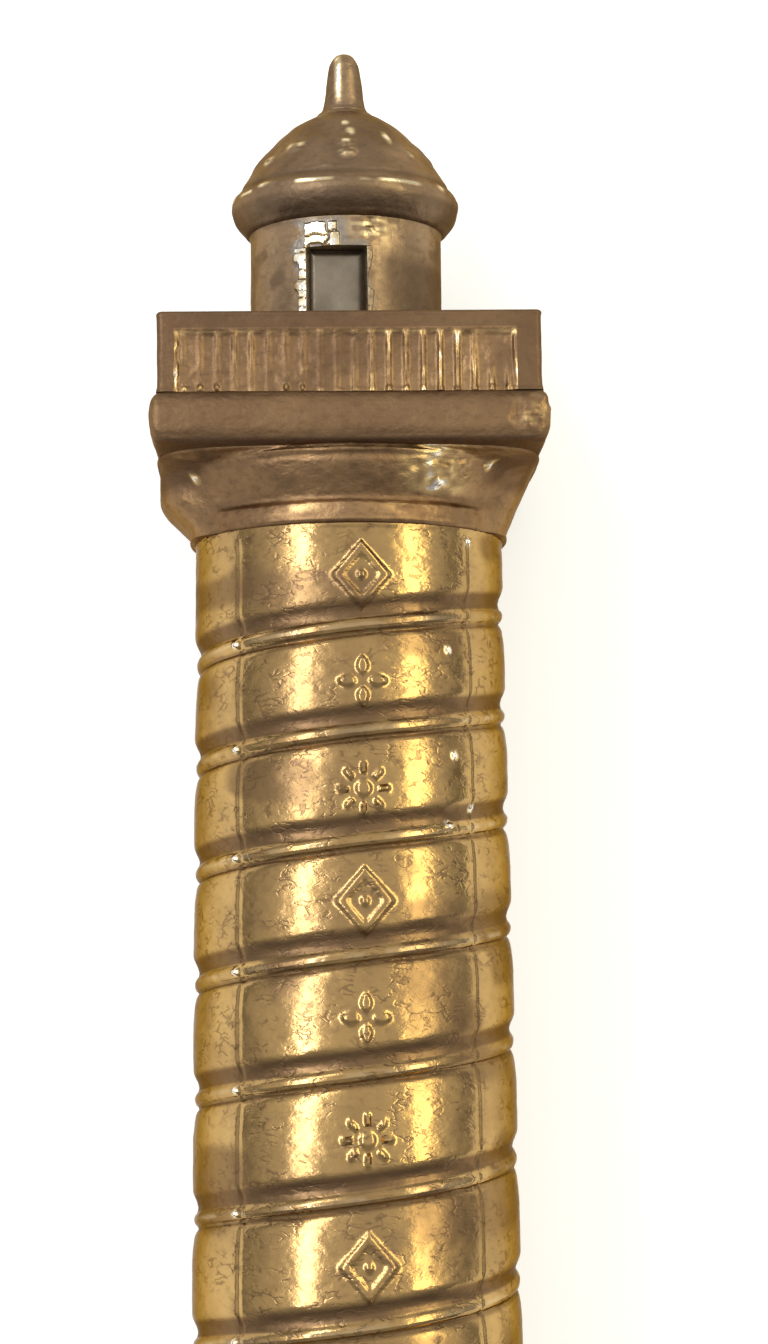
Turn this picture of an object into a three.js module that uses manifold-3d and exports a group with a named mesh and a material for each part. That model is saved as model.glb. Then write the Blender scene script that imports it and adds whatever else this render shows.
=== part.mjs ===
// A souvenir bottle opener whose handle is a monument column: a finial, a domed lantern, a square
// balcony, a round shaft wound with a spiral band, and a square plinth that grips a steel opener blade.
// It lies on its back, as it does on a table. Millimetres, +Y towards the finial, +Z out of its front,
// the origin under its middle on the surface that it lies on.
import * as THREE from "three";
import { mergeVertices } from "three/addons/utils/BufferGeometryUtils.js";
import Module from "manifold-3d";

const wasm = await Module();
wasm.setup();

// Driving dimensions.
const LENGTH = 125; // finial tip to the far edge of the blade
const BLOCK_WIDTH = 18.6; // cornice and plinth, the two squares that the opener lies on
const PARAPET_WIDTH = 17.8;
const FINIAL_HEIGHT = 3.05;
const DOME_HEIGHT = 6.25;
const DRUM_HEIGHT = 7.05;
const DECK_STEP = 2.2; // the deck's floor above the top of the cornice
const CORNICE_HEIGHT = 2.35;
const CAPITAL_HEIGHT = 3.55;
const SHAFT_HEIGHT = 51.55;
const BASE_RING_HEIGHT = 2;
const PLINTH_HEIGHT = 9;
const BLADE_THICKNESS = 2.6;
const HEAD_RADIUS = 19; // the blade's round head
const MOUTH_RADIUS = 14.2; // its opening for a crown cap
const ROD_RADIUS = 1.7;

const FIT_GAP = 0.1; // around a pin, rod or tang in its hole
const ROD_HOLE_RADIUS = ROD_RADIUS + 2 * FIT_GAP;
const ROUND_SIDES = 48;
const AXIS_Z = BLOCK_WIDTH / 2;

// Heights along the column, each piece standing on the one below it.
const PLINTH_Y = -LENGTH / 2 + 2 * HEAD_RADIUS;
const BASE_RING_Y = PLINTH_Y + PLINTH_HEIGHT;
const SHAFT_Y = BASE_RING_Y + BASE_RING_HEIGHT;
const CAPITAL_Y = SHAFT_Y + SHAFT_HEIGHT;
const CORNICE_Y = CAPITAL_Y + CAPITAL_HEIGHT;
const PARAPET_Y = CORNICE_Y + CORNICE_HEIGHT;
const DRUM_Y = PARAPET_Y + DECK_STEP;
const DOME_Y = DRUM_Y + DRUM_HEIGHT;
const FINIAL_Y = DOME_Y + DOME_HEIGHT;

const brass = new THREE.MeshStandardMaterial({ color: 0xb08850, roughness: 0.35, metalness: 1 });
const pewter = new THREE.MeshStandardMaterial({ color: 0x807160, roughness: 0.5, metalness: 1 });
const nickel = new THREE.MeshStandardMaterial({ color: 0xc4bfb4, roughness: 0.25, metalness: 1 });
const steel = new THREE.MeshStandardMaterial({ color: 0x8c8a86, roughness: 0.5, metalness: 1 });

const opener = new THREE.Group();

// Adds a piece whose geometry is centred on the column's axis.
function addPiece(name, geometry, material) {
  const piece = new THREE.Mesh(geometry, material);
  piece.name = name;
  piece.position.z = AXIS_Z;
  opener.add(piece);
}

// A geometry as a manifold solid, for cutting and joining.
function solidOf(geometry) {
  const bare = geometry.index ? geometry.toNonIndexed() : geometry.clone();
  bare.deleteAttribute("normal");
  bare.deleteAttribute("uv");
  const merged = mergeVertices(bare, 1e-4);
  return new wasm.Manifold(
    new wasm.Mesh({
      numProp: 3,
      vertProperties: new Float32Array(merged.attributes.position.array),
      triVerts: new Uint32Array(merged.index.array),
    }),
  );
}

function geometryOf(solid) {
  const mesh = solid.getMesh();
  const geometry = new THREE.BufferGeometry();
  geometry.setAttribute("position", new THREE.BufferAttribute(new Float32Array(mesh.vertProperties), 3));
  geometry.setIndex(new THREE.BufferAttribute(new Uint32Array(mesh.triVerts), 1));
  return geometry;
}

function boxAt(width, height, depth, x, y, z) {
  return new THREE.BoxGeometry(width, height, depth).translate(x, y, z);
}

// A cylinder along Z.
function pinAt(radius, depth, x, y, z) {
  return new THREE.CylinderGeometry(radius, radius, depth, 24).rotateX(Math.PI / 2).translate(x, y, z);
}

// A hole along the column's axis that runs past both of its ends.
function roundHole(radius, low, high) {
  return new THREE.CylinderGeometry(radius, radius, high - low + 2, 24).translate(0, (low + high) / 2, 0);
}

// A shape drawn in x and z, extruded along +Y from y.
function extrudeUp(shape, height, y) {
  const options = { depth: height, bevelEnabled: false, curveSegments: 12 };
  return new THREE.ExtrudeGeometry(shape, options).rotateX(-Math.PI / 2).translate(0, y, 0);
}

// A turned piece: the outer profile is a path in (radius, y) going up, the hole runs right through it.
function turned(profile, holeRadius, segments = ROUND_SIDES) {
  const outer = profile.getPoints(4);
  const [first, last] = [outer[0], outer[outer.length - 1]];
  const loop = [
    ...outer,
    new THREE.Vector2(holeRadius, last.y),
    new THREE.Vector2(holeRadius, first.y),
    first.clone(),
  ];
  return new THREE.LatheGeometry(loop, segments);
}

// Adds the triangles of a quad to a list of corners, leaving out those that have no area.
function addQuad(corners, a, b, c, d) {
  for (const [p, q, r] of [[a, b, c], [a, c, d]])
    if (p.distanceTo(q) > 1e-6 && q.distanceTo(r) > 1e-6 && r.distanceTo(p) > 1e-6) corners.push(p, q, r);
}

// A ring of points moved in or out to lie at one radius.
function ringAtRadius(ring, radius) {
  return ring.map((p) => {
    const scale = radius / Math.hypot(p.x, p.z);
    return new THREE.Vector3(p.x * scale, p.y, p.z * scale);
  });
}

// Rings of points, going up, joined into a closed solid, with a round hole along the column's axis.
function lofted(rings, holeRadius) {
  const [low, high] = [rings[0][0].y, rings[rings.length - 1][0].y];
  const middle = (ring) => ring.map((p) => new THREE.Vector3(0, p.y, 0));
  const loop = [middle(rings[0]), ...rings, middle(rings[rings.length - 1])];
  const corners = [];
  for (let j = 0; j + 1 < loop.length; j++)
    for (let i = 0; i < rings[0].length; i++) {
      const next = (i + 1) % rings[0].length;
      addQuad(corners, loop[j][i], loop[j][next], loop[j + 1][next], loop[j + 1][i]);
    }
  const outer = new THREE.BufferGeometry().setFromPoints(corners);
  return geometryOf(solidOf(outer).subtract(solidOf(roundHole(holeRadius, low, high))));
}

// A square ring with rounded corners, its points in the order that lofted expects.
const CORNER_STEPS = 3;
function squareRing(y, half, cornerRadius) {
  const ring = [];
  for (let quarter = 0; quarter < 4; quarter++)
    for (let k = 0; k <= CORNER_STEPS; k++) {
      const angle = (Math.PI / 2) * (quarter + k / CORNER_STEPS);
      const [s, c] = [Math.sin(angle), Math.cos(angle)];
      const [cornerX, cornerZ] = [quarter < 2 ? 1 : -1, quarter === 0 || quarter === 3 ? 1 : -1];
      const inset = half - cornerRadius;
      ring.push(new THREE.Vector3(inset * cornerX + cornerRadius * s, y, inset * cornerZ + cornerRadius * c));
    }
  return ring;
}

// The finial: a blunt spike with a spigot that is pressed into the dome.
const SPIGOT_RADIUS = 0.65;
const SPIGOT_LENGTH = 1.5;
const FINIAL_RADIUS = 1.35;
function finial() {
  const profile = new THREE.Path();
  profile.moveTo(0, FINIAL_Y - SPIGOT_LENGTH);
  profile.lineTo(SPIGOT_RADIUS, FINIAL_Y - SPIGOT_LENGTH);
  profile.lineTo(SPIGOT_RADIUS, FINIAL_Y);
  profile.lineTo(FINIAL_RADIUS, FINIAL_Y);
  profile.quadraticCurveTo(1.05, FINIAL_Y + 0.3, 0.88, FINIAL_Y + 2);
  profile.quadraticCurveTo(0.8, FINIAL_Y + FINIAL_HEIGHT, 0, FINIAL_Y + FINIAL_HEIGHT);
  return new THREE.LatheGeometry(profile.getPoints(5), 24);
}

// The lantern's roof: a bell-shaped dome over a fat rounded eave, threaded inside for the tie rod.
const EAVE_RADIUS = 5.65;
const DRUM_RADIUS = 4.7;
const THREAD_DEPTH = 4;
function dome() {
  const profile = new THREE.Path();
  profile.moveTo(ROD_HOLE_RADIUS, DOME_Y);
  profile.lineTo(DRUM_RADIUS, DOME_Y);
  profile.quadraticCurveTo(EAVE_RADIUS, DOME_Y + 0.2, EAVE_RADIUS, DOME_Y + 1.3);
  profile.quadraticCurveTo(EAVE_RADIUS, DOME_Y + 2.1, 4.85, DOME_Y + 2.9);
  profile.quadraticCurveTo(4.2, DOME_Y + 4.6, 2.65, DOME_Y + 5.6);
  profile.quadraticCurveTo(1.95, DOME_Y + 5.9, FINIAL_RADIUS, DOME_Y + DOME_HEIGHT);
  profile.lineTo(SPIGOT_RADIUS + FIT_GAP, DOME_Y + DOME_HEIGHT);
  profile.lineTo(SPIGOT_RADIUS + FIT_GAP, DOME_Y + THREAD_DEPTH);
  profile.lineTo(ROD_HOLE_RADIUS, DOME_Y + THREAD_DEPTH);
  profile.lineTo(ROD_HOLE_RADIUS, DOME_Y);
  return new THREE.LatheGeometry(profile.getPoints(4), ROUND_SIDES);
}

// The lantern's drum, with a square-headed doorway sunk in its front.
const DOOR_X = -0.5; // the doorway is a little off the middle
const DOOR_WIDTH = 2.9;
const DOOR_HEIGHT = 5.6;
const DOORWAY_BACK = 3.7; // distance of the doorway's back from the axis
const DOOR_THICKNESS = 0.35;
function lanternDrum() {
  const profile = new THREE.Path();
  profile.moveTo(DRUM_RADIUS + 0.15, DRUM_Y);
  profile.lineTo(DRUM_RADIUS, DRUM_Y + 0.4);
  profile.lineTo(DRUM_RADIUS, DOME_Y);
  const depth = DRUM_RADIUS + 1 - DOORWAY_BACK;
  const [doorY, doorZ] = [DRUM_Y + DOOR_HEIGHT / 2, DOORWAY_BACK + depth / 2];
  const doorway = boxAt(DOOR_WIDTH, DOOR_HEIGHT, depth, DOOR_X, doorY, doorZ);
  return geometryOf(solidOf(turned(profile, ROD_HOLE_RADIUS)).subtract(solidOf(doorway)));
}

// The door leaf: a small plate of grey metal set at the back of the doorway.
function lanternDoor() {
  const height = DOOR_HEIGHT - 2 * FIT_GAP;
  const z = DOORWAY_BACK + FIT_GAP + DOOR_THICKNESS / 2;
  return boxAt(DOOR_WIDTH - 2 * FIT_GAP, height, DOOR_THICKNESS, DOOR_X, DRUM_Y + DOOR_HEIGHT / 2, z);
}

// The parapet: a square frame with a plain rim over sunk panels of balusters.
const PARAPET_HEIGHT = 3.75;
const RIM_HEIGHT = 0.8;
const PARAPET_INNER = 7.5; // half of its clear width inside
const POST_WIDTH = 1.1;
const PANEL_DEPTH = 0.4;
const BALUSTER_COUNT = 19;
function parapet() {
  const half = PARAPET_WIDTH / 2;
  const square = (size) => [[-size, -size], [size, -size], [size, size], [-size, size]];
  const inner = new THREE.Path(square(PARAPET_INNER).reverse().map(([x, z]) => new THREE.Vector2(x, z)));
  const pitch = (PARAPET_WIDTH - 2 * POST_WIDTH) / BALUSTER_COUNT;
  // One side's outline, along x at z = -half, then turned to the other three.
  const side = [[-half, -half], [-half + POST_WIDTH, -half]];
  for (let k = 0; k < BALUSTER_COUNT; k++) {
    const x = -half + POST_WIDTH + pitch * k;
    side.push([x + pitch * 0.25, -half + PANEL_DEPTH], [x + pitch * 0.5, -half + PANEL_DEPTH * 0.25]);
    side.push([x + pitch * 0.75, -half + PANEL_DEPTH]);
  }
  side.push([half - POST_WIDTH, -half]);
  const outline = [0, 1, 2, 3].flatMap((quarter) =>
    side.map(([x, z]) => new THREE.Vector2(x, z).rotateAround(new THREE.Vector2(), (quarter * Math.PI) / 2)),
  );
  const panels = new THREE.Shape(outline);
  const rim = new THREE.Shape(square(half).map(([x, z]) => new THREE.Vector2(x, z)));
  for (const shape of [panels, rim]) shape.holes.push(inner);
  const panelHeight = PARAPET_HEIGHT - RIM_HEIGHT;
  const lower = solidOf(extrudeUp(panels, panelHeight, PARAPET_Y));
  const upper = solidOf(extrudeUp(rim, RIM_HEIGHT, PARAPET_Y + panelHeight));
  return geometryOf(lower.add(upper));
}

// The balcony's deck: the cornice moulding, with the raised floor that fills the parapet.
const CORNICE_CORNER = 1;
function balconyDeck() {
  const half = BLOCK_WIDTH / 2;
  const floorHalf = PARAPET_INNER - FIT_GAP;
  const rings = [
    squareRing(CORNICE_Y, half - 0.4, CORNICE_CORNER),
    squareRing(CORNICE_Y + 0.6, half, CORNICE_CORNER),
    squareRing(PARAPET_Y - 0.8, half, CORNICE_CORNER),
    squareRing(PARAPET_Y, PARAPET_WIDTH / 2, CORNICE_CORNER / 2),
    squareRing(PARAPET_Y, floorHalf, FIT_GAP),
    squareRing(DRUM_Y, floorHalf, FIT_GAP),
  ];
  return lofted(rings, ROD_HOLE_RADIUS);
}

// The capital: a neck ring, then a round bell that spreads to the cornice's underside.
const NECK_RADIUS = 7.4;
const BELL_RADIUS = 8.8;
const NECK_RING_HEIGHT = 1.2;
function capital() {
  const bellY = CAPITAL_Y + NECK_RING_HEIGHT;
  const profile = new THREE.Path();
  profile.moveTo(NECK_RADIUS + 0.15, CAPITAL_Y);
  profile.quadraticCurveTo(NECK_RADIUS + 0.75, CAPITAL_Y + NECK_RING_HEIGHT / 2, NECK_RADIUS + 0.35, bellY);
  profile.quadraticCurveTo(BELL_RADIUS - 0.4, bellY + 0.6, BELL_RADIUS, CORNICE_Y - 0.7);
  profile.lineTo(BELL_RADIUS, CORNICE_Y);
  return turned(profile, ROD_HOLE_RADIUS);
}

// The shaft: slightly tapered, with a spiral groove whose turns grow wider apart towards the base.
const SHAFT_TAPER = 0.011; // radius gained for each millimetre down
const SHAFT_HOLE_RADIUS = 3;
const FIRST_GROOVE = 5.16; // depth below the shaft's top, at the front
const FIRST_PITCH = 4.87;
const PITCH_GROWTH = 1.034;
const GROOVE_DEPTH = 0.32;
const GROOVE_HALF = 0.19; // of a pitch
const COLLAR = 0.8; // plain length at each end
const grooveDrop = (turns) => FIRST_GROOVE + (FIRST_PITCH * (PITCH_GROWTH ** turns - 1)) / (PITCH_GROWTH - 1);
function shaft() {
  const sides = 40;
  const turns = 12;
  const radiusAt = (drop) => NECK_RADIUS + 0.05 + SHAFT_TAPER * drop;
  const ringAt = (dropAt, depth) =>
    Array.from({ length: sides }, (_, i) => {
      const wanted = dropAt(i / sides);
      const drop = THREE.MathUtils.clamp(wanted, COLLAR, SHAFT_HEIGHT - COLLAR);
      const radius = radiusAt(drop) - (drop === wanted ? depth : 0);
      const angle = (2 * Math.PI * i) / sides;
      return new THREE.Vector3(radius * Math.sin(angle), CAPITAL_Y - drop, radius * Math.cos(angle));
    });
  // The rows follow the spiral: each drops by one turn on its way round.
  const groove = [[GROOVE_HALF, 0], [0, GROOVE_DEPTH], [-GROOVE_HALF, 0]];
  const rows = [];
  for (let turn = turns; turn >= -1; turn--)
    for (const [offset, depth] of groove)
      rows.push(ringAt((round) => grooveDrop(turn + offset - round), depth));
  const endRing = (drop) => {
    const ring = ringAt(() => drop, 0);
    ring.forEach((p) => (p.y = CAPITAL_Y - drop));
    return ringAtRadius(ring, radiusAt(drop));
  };
  return spiralLoft(endRing(SHAFT_HEIGHT), rows, endRing(0), groove.length, SHAFT_HOLE_RADIUS);
}

// As lofted, for rows that climb a spiral: the end of a row meets the start of the row above by
// rowsPerTurn. Rows past either end lie flat on its collar, so that they close without a step.
function spiralLoft(bottom, rows, top, rowsPerTurn, holeRadius) {
  const sides = bottom.length;
  const last = rows.length - 1;
  const pointAt = (j, i) => {
    const row = i < sides ? j : j + rowsPerTurn;
    return rows[THREE.MathUtils.clamp(row, 0, last)][i % sides];
  };
  const corners = [];
  for (let j = -rowsPerTurn; j < last; j++)
    for (let i = 0; i < sides; i++)
      addQuad(corners, pointAt(j, i), pointAt(j, i + 1), pointAt(j + 1, i + 1), pointAt(j + 1, i));
  const hole = [top, bottom].map((ring) => ringAtRadius(ring, holeRadius));
  const rings = [rows[last], top, ...hole, bottom, rows[0]];
  for (let j = 0; j + 1 < rings.length; j++)
    for (let i = 0; i < sides; i++) {
      const next = (i + 1) % sides;
      addQuad(corners, rings[j][i], rings[j][next], rings[j + 1][next], rings[j + 1][i]);
    }
  return new THREE.BufferGeometry().setFromPoints(corners);
}

// The base ring: a half-round moulding between the shaft and the plinth.
function baseRing() {
  const radius = NECK_RADIUS + 0.05 + SHAFT_TAPER * SHAFT_HEIGHT;
  const bulge = 1.1;
  const profile = new THREE.Path();
  profile.moveTo(radius, BASE_RING_Y);
  profile.quadraticCurveTo(radius + bulge, BASE_RING_Y, radius + bulge, BASE_RING_Y + BASE_RING_HEIGHT / 2);
  profile.quadraticCurveTo(radius + bulge, SHAFT_Y, radius, SHAFT_Y);
  return turned(profile, ROD_HOLE_RADIUS);
}

// The blade's tang and the two rivets through it and the plinth.
const TANG_HALF = 5;
const TANG_DEPTH = 7.6;
const RIVET_RADIUS = 1.2;
const RIVET_X = 2.9;
const RIVET_Y = PLINTH_Y + 4;
const RIVET_SIDES = [["left", -RIVET_X], ["right", RIVET_X]];

// The plinth: a square block, slotted underneath for the tang.
const PLINTH_CHAMFER = 0.6;
function plinth() {
  const half = BLOCK_WIDTH / 2;
  const inset = half - PLINTH_CHAMFER;
  const outline = [
    [-half, -inset], [-inset, -half], [inset, -half], [half, -inset],
    [half, inset], [inset, half], [-inset, half], [-half, inset],
  ];
  const shape = new THREE.Shape(outline.map(([x, z]) => new THREE.Vector2(x, z)));
  const slotDepth = TANG_DEPTH + FIT_GAP;
  const slotWidth = 2 * (TANG_HALF + FIT_GAP);
  const slotThickness = BLADE_THICKNESS + 2 * FIT_GAP;
  const slot = boxAt(slotWidth, slotDepth + 1, slotThickness, 0, PLINTH_Y + (slotDepth - 1) / 2, 0);
  const rodHole = roundHole(ROD_HOLE_RADIUS, PLINTH_Y + slotDepth, BASE_RING_Y);
  const rivetHole = (x) => pinAt(RIVET_RADIUS + FIT_GAP, BLOCK_WIDTH + 2, x, RIVET_Y, 0);
  let solid = solidOf(extrudeUp(shape, PLINTH_HEIGHT, PLINTH_Y));
  for (const cut of [slot, rodHole, rivetHole(-RIVET_X), rivetHole(RIVET_X)])
    solid = solid.subtract(solidOf(cut));
  return geometryOf(solid);
}

function bladeRivet(x) {
  return pinAt(RIVET_RADIUS, BLOCK_WIDTH - 2 * FIT_GAP, x, RIVET_Y, 0);
}

// The opener blade: a tang, a short waist and a round head with a D-shaped mouth and a lifting lip.
const WAIST_HALF = 6.5;
const MOUTH_NEAR = 7.5; // the mouth's straight edge, above the head's centre
const LIP_LENGTH = 2.6;
const LIP_HALF = 5.2;
const HOOK_HEIGHT = 0.9;
function openerBlade() {
  const headY = PLINTH_Y - HEAD_RADIUS;
  const waistY = PLINTH_Y - FIT_GAP;
  const shape = new THREE.Shape();
  shape.moveTo(-TANG_HALF, PLINTH_Y + TANG_DEPTH);
  shape.lineTo(-TANG_HALF, waistY);
  shape.lineTo(-WAIST_HALF, waistY);
  const joinAngle = 0.6; // from the column's axis, where the waist meets the round head
  const joinX = HEAD_RADIUS * Math.sin(joinAngle);
  const joinY = headY + HEAD_RADIUS * Math.cos(joinAngle);
  shape.quadraticCurveTo(-WAIST_HALF - 0.6, joinY + 1.2, -joinX, joinY);
  shape.absarc(0, headY, HEAD_RADIUS, Math.PI / 2 + joinAngle, Math.PI / 2 - joinAngle + 2 * Math.PI, false);
  shape.quadraticCurveTo(WAIST_HALF + 0.6, joinY + 1.2, WAIST_HALF, waistY);
  shape.lineTo(TANG_HALF, waistY);
  shape.lineTo(TANG_HALF, PLINTH_Y + TANG_DEPTH);
  const mouth = new THREE.Path();
  const edgeAngle = Math.asin(MOUTH_NEAR / MOUTH_RADIUS) + 0.12;
  const arcStart = 0.36; // above the x axis, where the mouth's round corners leave its arc
  const nearY = headY + MOUTH_NEAR;
  const cornerX = MOUTH_RADIUS * Math.cos(edgeAngle) - 1.8;
  mouth.moveTo(-cornerX, nearY);
  mouth.lineTo(-LIP_HALF - 0.8, nearY);
  mouth.lineTo(-LIP_HALF, nearY - LIP_LENGTH);
  mouth.lineTo(LIP_HALF, nearY - LIP_LENGTH);
  mouth.lineTo(LIP_HALF + 0.8, nearY);
  mouth.lineTo(cornerX, nearY);
  const [arcX, arcY] = [MOUTH_RADIUS * Math.cos(arcStart), headY + MOUTH_RADIUS * Math.sin(arcStart)];
  mouth.quadraticCurveTo(cornerX + 1.6, nearY, arcX, arcY);
  mouth.absarc(0, headY, MOUTH_RADIUS, arcStart, Math.PI - arcStart, true);
  mouth.quadraticCurveTo(-cornerX - 1.6, nearY, -cornerX, nearY);
  shape.holes.push(mouth);
  for (const [, x] of RIVET_SIDES) {
    const hole = new THREE.Path();
    hole.absarc(x, RIVET_Y, RIVET_RADIUS + FIT_GAP, 0, 2 * Math.PI, true);
    shape.holes.push(hole);
  }
  const options = { depth: BLADE_THICKNESS, bevelEnabled: false, curveSegments: 28 };
  const plate = new THREE.ExtrudeGeometry(shape, options).translate(0, 0, -BLADE_THICKNESS / 2);
  // The hook: a wedge raised along the lip's edge, which catches under the rim of the cap.
  const wedge = new THREE.Shape();
  wedge.moveTo(0, 0);
  wedge.lineTo(0, HOOK_HEIGHT + 0.5);
  wedge.lineTo(2.2, 0);
  const hook = new THREE.ExtrudeGeometry(wedge, { depth: 2 * LIP_HALF - 0.6, bevelEnabled: false });
  hook.rotateY(Math.PI / 2).rotateX(Math.PI / 2);
  hook.translate(-LIP_HALF + 0.3, nearY - LIP_LENGTH, BLADE_THICKNESS / 2 - 0.5);
  return geometryOf(solidOf(plate).add(solidOf(hook)));
}

// The tie rod: welded to the tang, it runs up inside the column, and the dome screws down on it.
function tieRod() {
  const low = PLINTH_Y + TANG_DEPTH + FIT_GAP / 2;
  const high = DOME_Y + THREAD_DEPTH - FIT_GAP;
  const rod = new THREE.CylinderGeometry(ROD_RADIUS, ROD_RADIUS, high - low, 24);
  return rod.translate(0, (low + high) / 2, 0);
}

addPiece("finial", finial(), brass);
addPiece("dome", dome(), brass);
addPiece("lantern_drum", lanternDrum(), brass);
addPiece("lantern_door", lanternDoor(), pewter);
addPiece("balcony_parapet", parapet(), brass);
addPiece("balcony_deck", balconyDeck(), brass);
addPiece("capital", capital(), brass);
addPiece("spiral_shaft", shaft(), brass);
addPiece("base_ring", baseRing(), brass);
addPiece("plinth", plinth(), brass);
addPiece("opener_blade", openerBlade(), nickel);
addPiece("tie_rod", tieRod(), steel);
for (const [side, x] of RIVET_SIDES) addPiece(`blade_rivet_${side}`, bladeRivet(x), brass);

export default opener;
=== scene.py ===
import math

import bmesh
import bpy
import numpy as np
from mathutils import Matrix, Vector


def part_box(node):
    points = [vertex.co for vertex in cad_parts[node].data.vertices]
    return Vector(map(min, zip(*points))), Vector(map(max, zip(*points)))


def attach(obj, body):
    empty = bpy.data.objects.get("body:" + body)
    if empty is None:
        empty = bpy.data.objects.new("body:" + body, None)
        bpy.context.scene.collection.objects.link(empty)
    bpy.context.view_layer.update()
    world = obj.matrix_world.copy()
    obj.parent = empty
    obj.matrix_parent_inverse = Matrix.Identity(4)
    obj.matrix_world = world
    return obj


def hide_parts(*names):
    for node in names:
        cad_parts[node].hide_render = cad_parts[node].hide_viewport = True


# The looks of a bottle opener whose handle is a cast brass monument column, lying on its back.
# Shapes are worked out in millimetres round the column's axis, and placed in metres by place().
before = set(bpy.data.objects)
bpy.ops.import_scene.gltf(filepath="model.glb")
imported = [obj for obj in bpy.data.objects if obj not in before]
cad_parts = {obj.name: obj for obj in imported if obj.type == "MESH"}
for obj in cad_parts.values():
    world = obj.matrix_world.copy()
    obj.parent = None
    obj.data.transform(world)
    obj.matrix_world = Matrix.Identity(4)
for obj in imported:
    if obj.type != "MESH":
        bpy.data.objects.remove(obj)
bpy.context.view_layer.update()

MM = 0.001
TURN = 2 * math.pi


def span(node):
    """A CAD node's lowest and highest corners, in millimetres."""
    low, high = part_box(node)
    return np.array(low) / MM, np.array(high) / MM


shaft_low, shaft_high = span("spiral_shaft")
AXIS_Z = (shaft_low[2] + shaft_high[2]) / 2


# Shape helpers

def smooth(t):
    """0 below 0, 1 above 1, and an even S between."""
    t = np.clip(t, 0, 1)
    return t * t * (3 - 2 * t)


def bump(x, centre, half):
    """A round hump, 1 at its centre and 0 from half away."""
    return smooth(1 - np.abs(x - centre) / half)


def smooth_max(a, b, blend):
    """The greater of two surfaces, with the corner between them rounded over about blend."""
    mix = np.clip(0.5 + (a - b) / (2 * blend), 0, 1)
    return b + (a - b) * mix + blend * mix * (1 - mix)


def spots(places, angle, level, radius, size, reach=1):
    """0 outside some round spots, rising to 1 inside them. places are their angles and levels."""
    distance = [np.hypot((angle - turn) * radius, level - centre) for turn, centre in places]
    return smooth(reach - np.minimum.reduce(distance) / size)


def lattice_random(cells, seed):
    """A repeatable number from 0 to 1 for each whole-number point."""
    n = cells[..., 0] * 374761393 + cells[..., 1] * 668265263 + cells[..., 2] * 1440662683 + seed * 974711
    n &= 0xFFFFFFFF
    n = ((n ^ (n >> 13)) * 1274126177) & 0xFFFFFFFF
    return (n ^ (n >> 16)) / 0xFFFFFFFF


def noise(points, cell, seed):
    """Smooth noise from -1 to 1 at points in millimetres. cell is its grain, one number or one per axis."""
    scaled = points / np.asarray(cell, float)
    base = np.floor(scaled).astype(np.int64)
    part = scaled - base
    part = part**3 * (part * (part * 6 - 15) + 10)
    total = np.zeros(points.shape[:-1])
    for corner in np.ndindex(2, 2, 2):
        share = np.where(np.array(corner) == 1, part, 1 - part).prod(axis=-1)
        total += share * lattice_random(base + np.array(corner), seed)
    return 2 * total - 1


def curve_through(points, steps):
    """A smooth path through the points, with steps pieces between each two of them."""
    p = np.array(points, float)
    p = np.vstack([2 * p[0] - p[1], p, 2 * p[-1] - p[-2]])
    t = np.linspace(0, 1, steps, endpoint=False)[:, None]
    parts = []
    for a, b, c, d in zip(p, p[1:], p[2:], p[3:]):
        cubic = 2 * b + (c - a) * t + (2 * a - 5 * b + 4 * c - d) * t**2 + (3 * b - a - 3 * c + d) * t**3
        parts.append(cubic / 2)
    return np.vstack([*parts, p[-2:-1]])


def front_angles(reach, count, others):
    """Angles for a whole turn: count of them within reach of the front, and the others further apart."""
    near = np.linspace(-reach, reach, count)
    return np.concatenate([near, np.linspace(reach, TURN - reach, others)[1:-1]])


# Mesh helpers

def add_object(name, data):
    made = bpy.data.objects.new(name, data)
    bpy.context.collection.objects.link(made)
    return made


def evaluated_mesh(item):
    """A new mesh of an object's shape, with its modifiers."""
    bpy.context.view_layer.update()
    return bpy.data.meshes.new_from_object(item.evaluated_get(bpy.context.evaluated_depsgraph_get()))


def place(name, vertices, faces):
    """A mesh object from millimetres round the column's axis."""
    mesh = bpy.data.meshes.new(name)
    shifted = (np.asarray(vertices, float) + (0, 0, AXIS_Z)) * MM
    mesh.from_pydata(shifted.tolist(), [], faces)
    return add_object(name, mesh)


def from_rings(name, rings, loop=False):
    """A closed mesh from rings of points, shape (rings, points, 3). The end rings are capped, or loop
    joins the last ring to the first."""
    count, width, _ = rings.shape
    index = np.arange(count * width).reshape(count, width)
    upper = np.roll(index, -1, axis=0) if loop else index[1:]
    lower = index if loop else index[:-1]
    quads = np.stack([lower, np.roll(lower, -1, 1), np.roll(upper, -1, 1), upper], axis=-1)
    faces = quads.reshape(-1, 4).tolist()
    if not loop:
        faces += [index[0][::-1].tolist(), index[-1].tolist()]
    piece = place(name, rings.reshape(-1, 3), faces)
    clean(piece)
    return piece


def clean(piece):
    """Merges points that lie together, drops points of no face and turns every face outwards."""
    work = bmesh.new()
    work.from_mesh(piece.data)
    bmesh.ops.remove_doubles(work, verts=work.verts, dist=0.0005 * MM)
    bmesh.ops.dissolve_degenerate(work, edges=work.edges, dist=0.0002 * MM)
    bmesh.ops.delete(work, geom=[v for v in work.verts if not v.link_faces], context="VERTS")
    bmesh.ops.recalc_face_normals(work, faces=work.faces)
    work.to_mesh(piece.data)
    work.free()


def points_of(piece):
    """A piece's points, in millimetres round the column's axis."""
    flat = np.empty(len(piece.data.vertices) * 3)
    piece.data.vertices.foreach_get("co", flat)
    return flat.reshape(-1, 3) / MM - (0, 0, AXIS_Z)


def move_points(piece, points):
    """Puts a piece's points at new places, in millimetres round the column's axis."""
    piece.data.vertices.foreach_set("co", ((points + (0, 0, AXIS_Z)) * MM).ravel())
    piece.data.update()


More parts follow.
